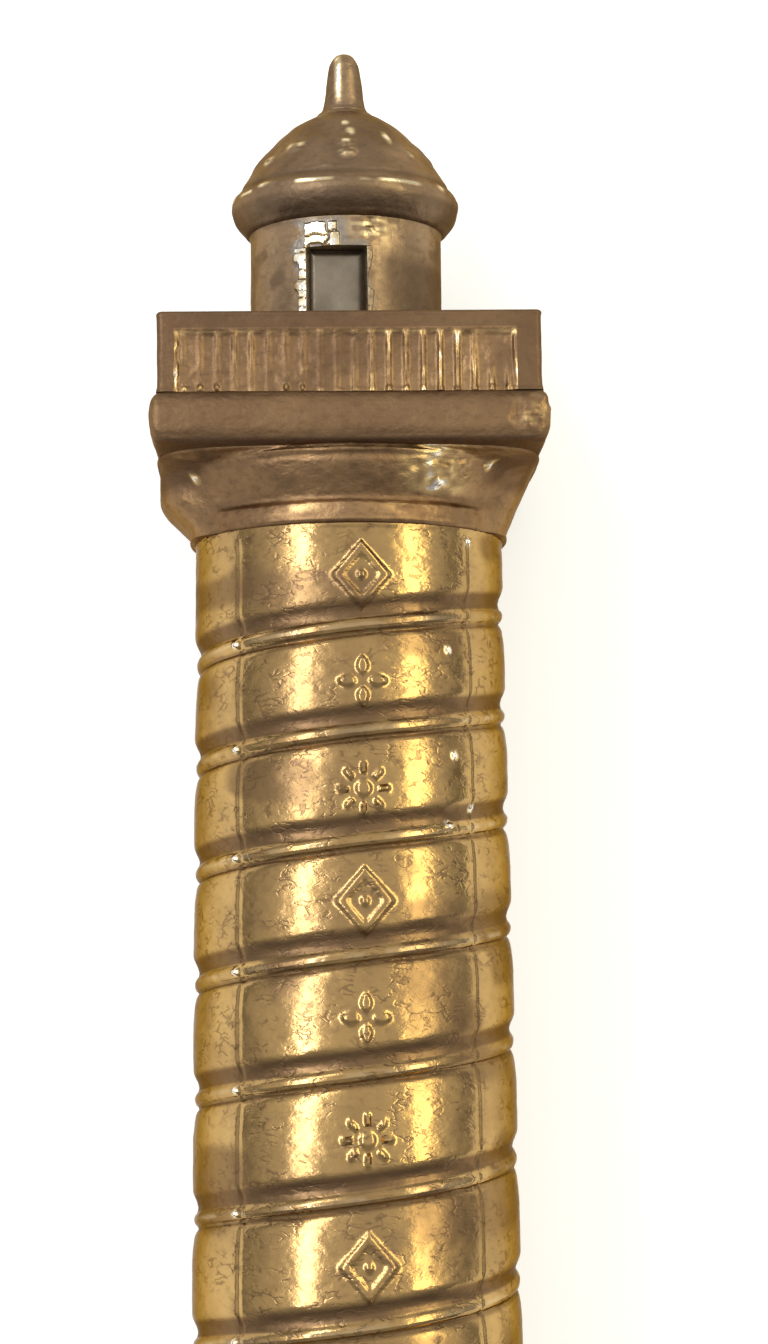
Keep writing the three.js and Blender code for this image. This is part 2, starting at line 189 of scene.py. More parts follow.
def grid_quads(index):
    """The four-sided faces between the points of a grid."""
    corners = [index[:-1, :-1], index[:-1, 1:], index[1:, 1:], index[1:, :-1]]
    return np.stack(corners, axis=-1).reshape(-1, 4)


def cast_surface(piece, amount, keep_ends=True):
    """Moves a piece's points in and out a little, as a sand casting's skin is uneven."""
    points = points_of(piece)
    normals = np.empty(len(points) * 3)
    piece.data.vertices.foreach_get("normal", normals)
    normals = normals.reshape(-1, 3)
    depth = 0.030 * noise(points, 3.1, 11) + 0.014 * noise(points, (1.3, 0.8, 1.3), 12)
    depth += 0.008 * noise(points, (0.62, 0.36, 0.62), 13)
    depth = (depth - 0.05) * amount
    if keep_ends:
        low, high = points[:, 1].min(), points[:, 1].max()
        depth *= smooth((points[:, 1] - low) / 0.3) * smooth((high - points[:, 1]) / 0.3)
    move_points(piece, points + normals * depth[:, None])


def paint(piece, name, values):
    """A number for each point of a piece, for its material to read."""
    layer = piece.data.attributes.new(name, "FLOAT", "POINT")
    layer.data.foreach_set("value", np.clip(values, 0, 1).astype(np.float32))


def finish(piece, material, slot, *nodes, sharp=38):
    """Shades a piece, gives it its material, hangs it under the root body and hides the CAD nodes that it
    stands for.
    """
    piece.data.materials.append(material)
    piece.data.shade_smooth()
    piece.data.set_sharp_from_angle(angle=math.radians(sharp))
    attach(piece, "root")
    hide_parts(*nodes)


def round_rings(profile, angles):
    """Rings of a turned shape from its profile of (radius, y)."""
    radius, y = np.asarray(profile, float).T
    x = radius[:, None] * np.sin(angles)
    z = radius[:, None] * np.cos(angles)
    return np.stack([x, np.broadcast_to(y[:, None], x.shape), z], axis=-1)


def even_angles(count):
    return np.linspace(-math.pi, math.pi, count, endpoint=False)


# Materials

class Shader:
    """A material's node tree, with short calls for the nodes that the materials here are made of."""

    def __init__(self, name):
        self.material = bpy.data.materials.new(name)
        self.material.use_nodes = True
        self.tree = self.material.node_tree
        self.surface = self.tree.nodes["Principled BSDF"]
        self.place = self.tree.nodes.new("ShaderNodeTexCoord").outputs["Object"]

    def node(self, kind, **inputs):
        made = self.tree.nodes.new(kind)
        for key, value in inputs.items():
            socket = made.inputs[key] if key in made.inputs else made.inputs[key.replace("_", " ")]
            self.put(socket, value)
        return made

    def put(self, socket, value):
        if isinstance(value, bpy.types.NodeSocket):
            self.tree.links.new(value, socket)
        else:
            socket.default_value = value

    def set(self, name, value):
        """Sets or links one of the surface's sockets."""
        self.put(self.surface.inputs[name], value)

    def stretched(self, stretch):
        made = self.node("ShaderNodeMapping", Vector=self.place)
        made.inputs["Scale"].default_value = stretch
        return made.outputs["Vector"]

    def grain(self, size, detail=3.0, stretch=(1, 1, 1), rough=0.5):
        """Noise from 0 to 1 whose grains are about size millimetres across."""
        made = self.node("ShaderNodeTexNoise", Vector=self.stretched(stretch), Scale=1 / (size * MM))
        made.inputs["Detail"].default_value = detail
        made.inputs["Roughness"].default_value = rough
        return made.outputs["Fac"]

    def cells(self, size, stretch, wander):
        """Distance from the edges of uneven cells, 0 on an edge. wander bends the edges, in millimetres."""
        bend = self.node("ShaderNodeTexNoise", Vector=self.place, Scale=1 / (size * 0.9 * MM))
        bend.inputs["Detail"].default_value = 3.0
        centred = self.node("ShaderNodeVectorMath", Vector=bend.outputs["Color"])
        centred.operation = "SUBTRACT"
        centred.inputs[1].default_value = (0.5, 0.5, 0.5)
        moved = self.node("ShaderNodeVectorMath", Vector=centred.outputs[0])
        moved.operation = "SCALE"
        moved.inputs["Scale"].default_value = 2 * wander * MM
        bent = self.node("ShaderNodeVectorMath", Vector=self.place)
        bent.operation = "ADD"
        self.put(bent.inputs[1], moved.outputs[0])
        scaled = self.node("ShaderNodeMapping", Vector=bent.outputs[0])
        scaled.inputs["Scale"].default_value = stretch
        made = self.node("ShaderNodeTexVoronoi", Vector=scaled.outputs["Vector"], Scale=1 / (size * MM))
        made.feature = "DISTANCE_TO_EDGE"
        return made.outputs["Distance"]

    def read(self, name):
        made = self.tree.nodes.new("ShaderNodeAttribute")
        made.attribute_name = name
        return made.outputs["Fac"]

    def remap(self, value, low, high, to_low=0.0, to_high=1.0):
        made = self.node("ShaderNodeMapRange", Value=value)
        for key, number in (("From Min", low), ("From Max", high), ("To Min", to_low), ("To Max", to_high)):
            made.inputs[key].default_value = number
        return made.outputs["Result"]

    def math(self, operation, a, b, clamp=False):
        made = self.tree.nodes.new("ShaderNodeMath")
        made.operation = operation
        made.use_clamp = clamp
        self.put(made.inputs[0], a)
        self.put(made.inputs[1], b)
        return made.outputs[0]

    def mix(self, share, a, b):
        made = self.tree.nodes.new("ShaderNodeMix")
        made.data_type = "RGBA"
        self.put(made.inputs["Factor"], share)
        colours = [socket for socket in made.inputs if socket.type == "RGBA"]
        self.put(colours[0], a)
        self.put(colours[1], b)
        return next(socket for socket in made.outputs if socket.type == "RGBA")

    def relief(self, height, depth_mm, below=None):
        """Bumps of a depth, on top of the bumps below them."""
        made = self.node("ShaderNodeBump", Height=height)
        made.inputs["Distance"].default_value = depth_mm * MM
        made.inputs["Strength"].default_value = 1.0
        if below is not None:
            self.put(made.inputs["Normal"], below)
        return made.outputs["Normal"]


def rgb(red, green, blue):
    return (red, green, blue, 1.0)


def cast_brass(name, bright, dull, dark, worn_and_highlit, tarnish, low_rough, high_rough, cracking, coarse):
    """Rough-cast brass: patchy between bright and dull, darkened by brown patina and painted shade in its
    hollows and undersides, lightened by wear and painted highlights on worn lumps and edges, with a skin of
    short cracks. coarse is the depth of its coarsest grain, in millimetres."""
    shader = Shader(name)
    patches = shader.remap(shader.grain(3.6, 5, (1, 0.8, 1), 0.6), 0.38, 0.64)
    specks = shader.remap(shader.grain(0.5, 3, (1, 1.6, 1)), 0.52, 0.72)
    short = shader.remap(shader.grain(0.7, 2, (1, 1.3, 1)), 0.48, 0.56)
    areas = shader.remap(shader.grain(1.8, 2), 0.38, 0.52)
    cracks = shader.remap(shader.cells(0.82, (1, 2.8, 1), 0.34), 0.14, 0.03)
    cracks = shader.math("MULTIPLY", shader.math("MULTIPLY", cracks, short), areas)
    age = shader.math("MULTIPLY", patches, tarnish)
    age = shader.math("ADD", age, shader.math("MULTIPLY", specks, tarnish * 0.6), clamp=True)
    colour = shader.mix(age, bright, dull)
    colour = shader.mix(shader.math("MULTIPLY", cracks, 0.6 * cracking), colour, dark)
    colour = shader.mix(shader.read("silver"), colour, GREY_BRASS)
    # Brown patina and painted shade darken hollows, undersides and recesses.
    colour = shader.mix(shader.read("patina_and_shade"), colour, dark)
    # Wear and painted highlights and glints lighten worn lumps, edges and crests, up to near white.
    colour = shader.mix(shader.remap(shader.read("wear_and_highlight"), 0, 0.6), colour, worn_and_highlit)
    colour = shader.mix(shader.remap(shader.read("wear_and_highlight"), 0.6, 1), colour, WHITE_GLINT_AND_WEAR)
    shader.set("Base Color", colour)
    shader.set("Metallic", 1.0)
    shader.set("Specular Tint", rgb(0.46, 0.36, 0.25))
    roughness = shader.remap(shader.grain(0.9, 3), 0.3, 0.7, low_rough, high_rough)
    roughness = shader.math("ADD", roughness, shader.math("MULTIPLY", shader.read("patina_and_shade"), 0.15))
    roughness = shader.math("ADD", roughness, shader.math("MULTIPLY", patches, 0.06))
    roughness = shader.math("SUBTRACT", roughness, shader.math("MULTIPLY", shader.read("wear_and_highlight"), 0.2))
    shader.set("Roughness", roughness)
    skin = shader.relief(shader.grain(0.9, 5, (1, 1.3, 1), 0.6), coarse)
    skin = shader.relief(shader.grain(0.5, 2, (1, 1.8, 1)), 0.02, skin)
    skin = shader.relief(shader.math("SUBTRACT", 1.0, cracks), 0.008 * cracking, skin)
    skin = shader.relief(shader.grain(0.1, 2), 0.003, skin)
    shader.set("Normal", skin)
    return shader.material


def grey_door_metal():
    shader = Shader("door_metal")
    shade = shader.remap(shader.grain(1.1, 4), 0.35, 0.7)
    colour = shader.mix(shade, rgb(0.25, 0.212, 0.168), rgb(0.19, 0.16, 0.124))
    # Painted shade round the leaf's edges darkens it towards near black.
    colour = shader.mix(shader.read("patina_and_shade"), colour, rgb(0.1, 0.08, 0.06))
    shader.set("Base Color", colour)
    shader.set("Metallic", 1.0)
    shader.set("Roughness", shader.remap(shader.grain(0.5), 0.3, 0.7, 0.42, 0.6))
    shader.set("Normal", shader.relief(shader.grain(0.25, 3), 0.01))
    return shader.material


def brushed_steel(name, colour, worn, along):
    """Steel with fine lines along x or y, and smudges."""
    shader = Shader(name)
    stretch = (0.03, 1, 1) if along == "x" else (1, 0.03, 1)
    lines = shader.grain(0.12, 3, stretch)
    smudges = shader.remap(shader.grain(7, 4), 0.4, 0.7)
    shader.set("Base Color", shader.mix(smudges, colour, worn))
    shader.set("Metallic", 1.0)
    roughness = shader.remap(lines, 0.3, 0.7, 0.2, 0.34)
    roughness = shader.math("ADD", roughness, shader.math("MULTIPLY", smudges, 0.08))
    shader.set("Roughness", roughness)
    skin = shader.relief(lines, 0.004)
    shader.set("Normal", shader.relief(shader.grain(1.6, 2), 0.008, skin))
    return shader.material


GREY_BRASS = rgb(0.27, 0.245, 0.215)
# Near white, for bare rubbed metal and for painted glints and highlights.
WHITE_GLINT_AND_WEAR = rgb(0.88, 0.84, 0.76)
SHAFT_BRASS = cast_brass(
    "shaft_brass", bright=rgb(0.47, 0.305, 0.124), dull=rgb(0.31, 0.198, 0.092), dark=rgb(0.15, 0.09, 0.052),
    worn_and_highlit=rgb(0.7, 0.56, 0.36), tarnish=0.65, low_rough=0.15, high_rough=0.25, cracking=1.0, coarse=0.01)
BLOCK_BRASS = cast_brass(
    "block_brass", bright=rgb(0.33, 0.205, 0.105), dull=rgb(0.19, 0.115, 0.066), dark=rgb(0.13, 0.08, 0.05),
    worn_and_highlit=rgb(0.6, 0.42, 0.2), tarnish=0.8, low_rough=0.36, high_rough=0.5, cracking=0.25, coarse=0.08)
LANTERN_BRASS = cast_brass(
    "lantern_brass", bright=rgb(0.35, 0.24, 0.145), dull=rgb(0.21, 0.145, 0.092), dark=rgb(0.12, 0.08, 0.055),
    worn_and_highlit=rgb(0.72, 0.57, 0.33), tarnish=0.8, low_rough=0.33, high_rough=0.47, cracking=0.3, coarse=0.07)
DOOR_METAL = grey_door_metal()
BLADE_STEEL = brushed_steel("blade_steel", rgb(0.66, 0.63, 0.58), rgb(0.52, 0.48, 0.42), "y")
ROD_STEEL = brushed_steel("rod_steel", rgb(0.5, 0.49, 0.47), rgb(0.36, 0.34, 0.32), "x")


# The finial and the lantern

def make_finial():
    top = span("finial")[1][1]
    base = span("dome")[1][1]
    profile = [(0, top), (0.3, top - 0.05), (0.52, top - 0.2), (0.72, top - 0.52), (0.82, top - 0.85)]
    profile += [(0.93, top - 1.6), (0.98, base + 0.9), (1.08, base + 0.3), (1.2, base), (1.1, base - 0.3)]
    profile += [(0, base - 0.3)]
    rings = round_rings(curve_through(profile, 8)[::-1], even_angles(96))
    piece = from_rings("finial_spike", rings)
    cast_surface(piece, 0.8, keep_ends=False)
    points = points_of(piece)
    x, y, z = points.T
    # Painted shade on the spike's left and right sides and at its foot.
    sides = 0.5 * smooth((np.abs(x) - 0.3) / 0.4)
    paint(piece, "patina_and_shade", np.maximum(sides, 0.6 * smooth((base + 0.25 - y) / 0.4)))
    # Painted highlight: a bright streak down the front, left of the middle.
    highlight_streak = bump(x, -0.3, 0.24) * (z > 0) * smooth((y - base - 0.3) / 0.4)
    paint(piece, "wear_and_highlight", 0.9 * highlight_streak * (0.8 + 0.8 * noise(points, 0.35, 44)))
    finish(piece, LANTERN_BRASS, "cast_brass", "finial")


DOME_PROFILE = [  # radius, and height above the dome's foot
    (0.5, 6.25), (1.22, 6.2), (1.55, 6.02), (2.07, 5.76), (2.58, 5.44), (2.94, 5.12), (3.5, 4.55),
    (4.05, 3.95), (4.44, 3.4), (4.8, 2.85), (5.1, 2.4), (5.24, 2.16), (5.36, 2.02), (5.54, 1.74),
    (5.63, 1.38), (5.58, 1.05), (5.45, 0.7), (5.22, 0.38), (4.95, 0.14), (4.66, 0.0),
]
DOME_RIBS = 9
LUMPS_LEFT = 0.75  # share of the lumps' height that wear has left
DOME_LUMPS = [  # angle round the dome, height, half width, half height, and how far each one stood out unworn
    (0.02, 3.15, 0.55, 0.3, 0.16), (0.0, 3.75, 0.5, 0.3, 0.17), (0.06, 4.4, 0.3, 0.3, 0.12),
    (-0.02, 4.95, 0.3, 0.22, 0.13), (-0.62, 3.75, 0.6, 0.4, 0.13), (-0.95, 3.2, 0.45, 0.3, 0.1),
    (0.55, 4.2, 0.25, 0.5, 0.12), (0.78, 3.4, 0.3, 0.3, 0.13), (1.0, 1.75, 0.5, 0.25, 0.08),
    (-0.8, 1.75, 0.5, 0.2, 0.06), (1.9, 3.6, 0.5, 0.4, 0.12), (2.6, 4.1, 0.4, 0.4, 0.12),
    (3.3, 3.3, 0.5, 0.4, 0.12), (4.1, 4.0, 0.5, 0.4, 0.12), (4.8, 3.4, 0.4, 0.4, 0.12),
]


def lump_spread(angle, height, radius, lump):
    """How far points are from a lump's centre, as a share of its size."""
    turn, level, wide, tall, _ = lump
    apart = (angle - turn + math.pi) % TURN - math.pi
    return np.hypot(apart * radius / wide, (height - level) / tall)


def make_dome():
    base = span("dome")[0][1]
    profile = curve_through([(r, base + h) for r, h in DOME_PROFILE], 9)[::-1]
    angles = even_angles(480)
    rings = round_rings(profile, angles)
    height = rings[..., 1] - base
    angle = np.broadcast_to(angles, height.shape)
    radius = np.hypot(rings[..., 0], rings[..., 2])
    across = np.abs((angle / TURN * DOME_RIBS + 0.5) % 1 - 0.5) * TURN / DOME_RIBS * radius
    worn = np.zeros_like(height)
    for lump in DOME_LUMPS:
        spread = lump_spread(angle, height, radius, lump)
        worn = np.maximum(worn, LUMPS_LEFT * lump[-1] * smooth(1.25 - spread))
    ridge = 0.06 * smooth((height - 2.7) / 0.6) * smooth((5.9 - height) / 0.5) * smooth(1 - across / 0.6)
    raised = worn * (0.8 + 0.5 * noise(rings, (0.4, 0.3, 0.4), 31)) + ridge
    raised += 0.035 * smooth((height - 2.3) / 0.4) * noise(rings, (0.9, 0.5, 0.9), 32)
    raised += 0.05 * bump(height, 1.5, 0.9) * noise(rings, (1.1, 0.35, 1.1), 33)
    raised -= 0.06 * bump(height, 2.1, 0.4)
    rings[..., 0] += raised * np.sin(angle)
    rings[..., 2] += raised * np.cos(angle)
    piece = from_rings("dome_shell", rings)
    cast_surface(piece, 1.5)
    points = points_of(piece)
    x, y, z = points.T
    height = y - base
    angle = np.arctan2(x, z)
    radius = np.hypot(x, z)
    # Worn lumps, lightened by wear and by painted glints.
    wear_and_glint = np.zeros(len(points))
    for lump in DOME_LUMPS:
        wear_and_glint = np.maximum(wear_and_glint, smooth(1.1 - lump_spread(angle, height, radius, lump)))
    wear_and_glint *= np.clip(0.45 + 1.1 * noise(points, (0.35, 0.2, 0.35), 34), 0, 1)
    # Painted highlight: a broken bright line along the eave.
    edge = bump(height, 1.6, 0.14) * smooth(3.5 * noise(points, (1.0, 3, 1.0), 35) - 0.2)
    blotches = 0.3 * noise(points, (1.6, 1.0, 1.6), 36)
    # Blotchy patina, with painted shade in the crease above the eave and under the eave.
    shade = 0.32 + blotches + 0.35 * bump(height, 2.1, 0.4) + 0.4 * smooth((1.3 - height) / 0.3)
    paint(piece, "patina_and_shade", shade)
    paint(piece, "wear_and_highlight", 0.85 * np.maximum(wear_and_glint, edge))
    finish(piece, LANTERN_BRASS, "cast_brass", "dome")


def make_drum():
    low, high = span("lantern_drum")
    door_low, door_high = span("lantern_door")
    door_x = (door_low[0] + door_high[0]) / 2
    door_half = (door_high[0] - door_low[0]) / 2 + 0.03
    door_top = door_high[1] + 0.03
    radius = (high[0] - low[0]) / 2 - 0.15
    back = door_low[2] - AXIS_Z - 0.1
    angle, level = np.meshgrid(front_angles(0.75, 300, 200), np.linspace(low[1], high[1], 130))
    across = radius * np.sin(angle) - door_x
    beside = np.where(np.cos(angle) > 0, np.abs(across) - door_half, 9.0)
    above = level - door_top
    outside = np.where((beside > 0) & (above > 0), np.hypot(beside, above), np.maximum(beside, above))
    r = np.full(angle.shape, radius) + 0.14 * smooth((low[1] + 0.45 - level) / 0.45)
    spot = np.stack([across, level, np.zeros_like(level)], axis=-1)
    wander = 0.16 * noise(spot, 0.45, 46)
    wide = np.where(across > 0, 0.3, 0.6) + wander
    jamb = smooth(outside / 0.05) * smooth((wide - outside) / 0.1) * (above < 0.05)
    jamb = jamb * (1 - 0.4 * (across > 0))
    courses = smooth((np.abs((level / 0.45 + wander) % 1 - 0.5) - 0.02) / 0.08)
    block_x = across + door_half - 0.75 + wander
    block_y = above - 0.72 + 0.16 * noise(spot, 0.5, 47)
    block = smooth((0.86 - np.abs(block_x)) / 0.1) * smooth((0.66 - np.abs(block_y)) / 0.1)
    joint_x = smooth((np.abs(block_x - 0.15) - 0.02) / 0.05)
    joint_y = smooth((np.abs(block_y - 0.02 - 0.1 * np.sign(block_x - 0.15)) - 0.02) / 0.05)
    stone = block * joint_x * joint_y
    r += 0.11 * jamb * (0.6 + 0.4 * courses) + 0.11 * stone
    r += 0.07 * bump(across, 1.5, 1.5) * bump(above, 1.0, 1.2) * noise(spot, (0.4, 0.22, 1), 49)
    r = np.where(outside < 0, np.minimum(r, np.maximum(back, 0.1) / np.maximum(np.cos(angle), 0.3)), r)
    rings = np.stack([r * np.sin(angle), level, r * np.cos(angle)], axis=-1)
    piece = from_rings("drum_wall", rings)
    cast_surface(piece, 0.8)
    points = points_of(piece)
    x, y, z = points.T
    across = x - door_x
    front_side = z > 0
    # Painted shade: darker under the eave, and in the door's recess.
    patina_and_shade = 0.15 * smooth((y - high[1] + 0.6) / 0.6)
    proud = np.hypot(x, z) - radius
    patina_and_shade = np.where(front_side & (proud < -0.2), 0.3, patina_and_shade)
    above = y - door_top
    ragged = 0.4 * noise(points, 0.7, 41)
    silver = smooth((door_half + 0.55 - np.abs(across + 0.2) + ragged) / 0.4) * front_side
    silver *= smooth((1.7 - above) / 0.5) * (1 - smooth((across - 0.2) / 0.6) * smooth((above - 0.1) / 0.4))
    # Painted highlight on the raised jambs and stones round the door, brighter on the left side.
    left_side = smooth((0.3 - across) / 0.6)
    wear_and_highlight = smooth((proud + 0.01) / 0.06) * (0.35 + 0.65 * left_side) * silver
    # Painted shade on the lower right of the front.
    right_foot_shade = smooth((across - 1.9) / 0.8) * smooth((door_top + 0.3 - y) / 1.2) * front_side
    spots = 0.5 * smooth(2.4 * noise(points, (1.1, 0.7, 1.1), 50) - 0.6)
    paint(piece, "patina_and_shade", np.maximum.reduce([patina_and_shade, 0.8 * right_foot_shade, spots]))
    paint(piece, "silver", silver)
    # Painted highlight: a gold speckle to the right of the door, where a lamp's reflection falls.
    speckled_highlight = smooth(0.2 + 1.8 * noise(points, (0.45, 0.22, 0.45), 48))
    speckled_highlight = speckled_highlight * bump(across, 1.5, 1.5) * bump(above, 1.0, 1.3)
    wear_and_highlight = wear_and_highlight * (0.9 + 0.5 * noise(points, (0.3, 0.25, 0.3), 43))
    paint(piece, "wear_and_highlight", np.maximum(wear_and_highlight, 0.6 * speckled_highlight * front_side))
    finish(piece, LANTERN_BRASS, "cast_brass", "lantern_drum")


def make_door():
    """The door leaf: a plain plate with rounded edges and a slightly uneven face."""
    low, high = span("lantern_door")
    low = low - (0, 0, AXIS_Z)
    high = high - (0, 0, AXIS_Z)
    u = np.linspace(0, 1, 60)
    v = np.linspace(0, 1, 110)
    x = low[0] + (high[0] - low[0]) * u
    y = low[1] + (high[1] - low[1]) * v
    grid_x, grid_y = np.meshgrid(x, y)
    edge = np.minimum.reduce([grid_x - low[0], high[0] - grid_x, grid_y - low[1], high[1] - grid_y])
    front = high[2] - 0.18 * smooth(1 - edge / 0.4) ** 2
    front = front + 0.03 * noise(np.stack([grid_x, grid_y, grid_x * 0], axis=-1), 0.9, 45) - 0.03
    vertices = np.stack([grid_x, grid_y, front], axis=-1).reshape(-1, 3)
    count = len(vertices)
    flat = vertices.copy()
    flat[:, 2] = low[2]
    index = np.arange(count).reshape(grid_x.shape)
    quads = grid_quads(index)
    rim = np.concatenate([index[0, :-1], index[:-1, -1], index[-1, :0:-1], index[:0:-1, 0]])
    sides = np.stack([rim, rim + count, np.roll(rim, -1) + count, np.roll(rim, -1)], axis=-1)
    faces = quads.tolist() + sides.tolist() + [(rim + count)[::-1].tolist()]
    piece = place("door_leaf", np.vstack([vertices, flat]), faces)
    clean(piece)
    x, y, _ = points_of(piece).T
    # Painted shade: the leaf darkens towards its sides and top, inside the doorway.
    inwards = np.minimum.reduce([x - low[0], high[0] - x, high[1] - y])
    paint(piece, "patina_and_shade", smooth(1 - inwards / 0.42))
    finish(piece, DOOR_METAL, "grey_metal", "lantern_door")


# The balcony

PARAPET_INNER = 7.5  # half the width inside the parapet
BALUSTERS = 20  # on each side
PANEL_DEPTH = 0.18


def square_path(half, corner, count):
    """Points round a square with rounded corners, their outward directions, and the distance along the
    side that each is on, from the side's middle. They start in the middle of the front."""
    straight = half - corner
    side = 2 * straight + corner * math.pi / 2
    distance = (np.arange(count) + 0.5) / count * 4 * side
    quarter = np.floor((distance + side / 2) / side).astype(int)
    along = distance - quarter * side
    bend = np.clip((np.abs(along) - straight) / corner, 0, math.pi / 4) * np.sign(along)
    run = np.clip(along, -straight, straight)
    x = run + corner * np.sin(bend)
    z = straight + corner * np.cos(bend)
    turn = quarter * math.pi / 2
    points = np.stack([x * np.cos(turn) + z * np.sin(turn), z * np.cos(turn) - x * np.sin(turn)], axis=-1)
    out = np.stack([np.sin(bend + turn), np.cos(bend + turn)], axis=-1)
    return points, out, run, quarter % 4


def make_parapet():
    low, high = span("balcony_parapet")
    half = (high[0] - low[0]) / 2
    count = 4 * 420
    path, out, along, side = square_path(half, 0.35, count)
    left_post, right_post = 0.85, 1.2
    ceiling = high[1] - 0.78  # the top of the sunk panels
    rounding = 0.2
    shoulder = high[1] - rounding
    levels = np.concatenate([
        np.linspace(low[1], ceiling - 0.15, 40), np.linspace(ceiling - 0.12, ceiling + 0.06, 7),
        np.linspace(ceiling + 0.12, shoulder, 8), shoulder + rounding * np.sin(np.linspace(0.3, 1.57, 6))])
    level, u = np.meshgrid(levels, along, indexing="ij")
    panel = smooth((u + half - left_post) / 0.3) * smooth((half - right_post - u) / 0.3)
    panel = panel * smooth((ceiling - level) / 0.5)
    pitch = (2 * half - left_post - right_post) / BALUSTERS
    phase = np.abs(((u + half - left_post) / pitch) % 1 - 0.5) * pitch
    spot = np.stack([u, level, np.broadcast_to(side, u.shape) * 9.0], -1)
    crisp = bump(u, 1.3, 5.5) * (side % 2 == 0) + 0.6 * (side % 2 == 1)
    worn = smooth(0.25 + 0.75 * crisp + 0.7 * noise(spot, (2.4, 2.0, 1), 51))
    rib = 0.15 * smooth((0.23 - phase) / 0.2) * (0.1 + 0.9 * worn)
    for foot in (low[1] + 0.2, ceiling - 0.16):
        strength = smooth(0.45 + 1.3 * noise(spot + (foot, 0, 0), (0.8, 5, 1), 54))
        rib = np.maximum(rib, 0.19 * smooth(1 - np.hypot(phase, (level - foot) * 0.8) / 0.24) * strength)
    for end in (left_post - half + 0.12, half - right_post - 0.12):
        broken = smooth(0.6 + 1.2 * noise(spot, (1, 0.6, 1), 59))
        rib = np.maximum(rib, 0.17 * bump(u, end, 0.16) * broken * smooth((ceiling - level - 0.3) / 0.3))
    lumpy = 0.03 * noise(spot, (0.5, 0.5, 1), 55) + 0.012 * noise(spot, (0.22, 0.25, 1), 56)
    depth = panel * (PANEL_DEPTH - rib - lumpy)
    rise = np.clip((level - shoulder) / rounding, 0, 1)
    depth = depth + rounding * (1 - np.sqrt(1 - rise**2))
    outer = path[None] - out[None] * depth[..., None]
    outer = np.stack([outer[..., 0], level, outer[..., 1]], axis=-1)
    inner_path = square_path(PARAPET_INNER, 0.3, count)[0]
    inner_levels = np.linspace(high[1], low[1], 16)
    inner_rings = np.stack([
        np.broadcast_to(inner_path[:, 0], (16, count)),
        np.broadcast_to(inner_levels[:, None], (16, count)),
        np.broadcast_to(inner_path[:, 1], (16, count))], axis=-1)
    rings = np.concatenate([outer, inner_rings])
    piece = from_rings("parapet_frame", rings, loop=True)
    cast_surface(piece, 0.9)
    points = points_of(piece)
    x, y, z = points.T
    reach = half - np.maximum(np.abs(x), np.abs(z))
    u = np.where(np.abs(z) >= np.abs(x), x * np.sign(z), -z * np.sign(x))
    in_panel = (u > left_post - half) & (u < half - right_post) & (y < ceiling) & (reach < 0.6)
    # Patchy stain and painted shade on the sunk panels' floors; the frame round them is darkened evenly.
    stain_and_shade = 0.3 + 0.45 * noise(points, (2.6, 1.3, 2.6), 57)
    paint(piece, "patina_and_shade", np.where(in_panel, stain_and_shade * smooth((reach - 0.12) / 0.08), 0.65))
    # Wear and painted highlights along the rib crests.
    crest_wear_and_highlight = in_panel * smooth((0.17 - reach) / 0.08) * (0.35 + 0.7 * noise(points, (0.5, 0.4, 0.5), 58))
    crest_wear_and_highlight = crest_wear_and_highlight * smooth((ceiling - y - 0.1) / 0.15)
    paint(piece, "wear_and_highlight", crest_wear_and_highlight)
    finish(piece, BLOCK_BRASS, "cast_brass", "balcony_parapet")


def make_deck():
    low, high = span("balcony_deck")
    parapet_low, parapet_high = span("balcony_parapet")
    half = (high[0] - low[0]) / 2
    parapet_half = (parapet_high[0] - parapet_low[0]) / 2
    count = 4 * 300
    base = low[1]
    top = parapet_low[1]
    profile = curve_through([
        (half - 0.62, base), (half - 0.3, base + 0.12), (half - 0.08, base + 0.5), (half - 0.01, base + 1.0),
        (half - 0.02, base + 1.5), (half - 0.12, base + 1.95), (half - 0.3, base + 2.25),
        (parapet_half - 0.04, top + 0.03),
    ], 8)
    inner = PARAPET_INNER - 0.1
    floor = [
        (parapet_half - 1, top), (inner + 0.05, top), (inner, top + 0.1), (inner, high[1]), (4, high[1]),
        (2, high[1])]
    soffit = [(2.0, base), (5.0, base), (half - 1.2, base)]
    profile = np.vstack([soffit, profile, floor])
    rings = []
    for reach, y in profile:
        corner = min(0.55 - 0.25 * smooth((y - base - 1.5) / 0.7), reach * 0.3) if y < top + 0.05 else 0.1
        path = square_path(reach, corner, count)[0]
        rings.append(np.stack([path[:, 0], np.full(count, y), path[:, 1]], axis=-1))
    piece = from_rings("deck_and_cornice", np.array(rings))
    points = points_of(piece)
    flaw = smooth(1 - np.linalg.norm((points - (8.3, base + 1.2, 7.6)) / (1.7, 1.4, 3.0), axis=1))
    crumple = noise(points, 0.5, 61) + 0.6 * noise(points, 0.28, 62)
    side = np.sign(points) * (np.abs(points) > half - 1.3)
    side[:, 1] = 0
    length = np.maximum(np.linalg.norm(side, axis=1, keepdims=True), 1)
    points = points + side / length * (flaw * (0.42 * crumple - 0.2))[:, None]
    move_points(piece, points)
    cast_surface(piece, 1.0)
    level = points[:, 1]
    # Painted shade under the cornice's foot and on the deck inside the parapet, with an even brown patina
    # over all but the flaw.
    patina_and_shade = 0.55 * smooth((base + 0.35 - level) / 0.35) + 0.3 * (level > top + 0.05)
    paint(piece, "patina_and_shade", (patina_and_shade + 0.45) * (1 - flaw))
    # The flaw's crumpled metal is lightened by wear and painted highlights.
    paint(piece, "wear_and_highlight", 0.9 * flaw * smooth(0.35 + noise(points, 0.35, 63)))
    finish(piece, BLOCK_BRASS, "cast_brass", "balcony_deck")


# The capital

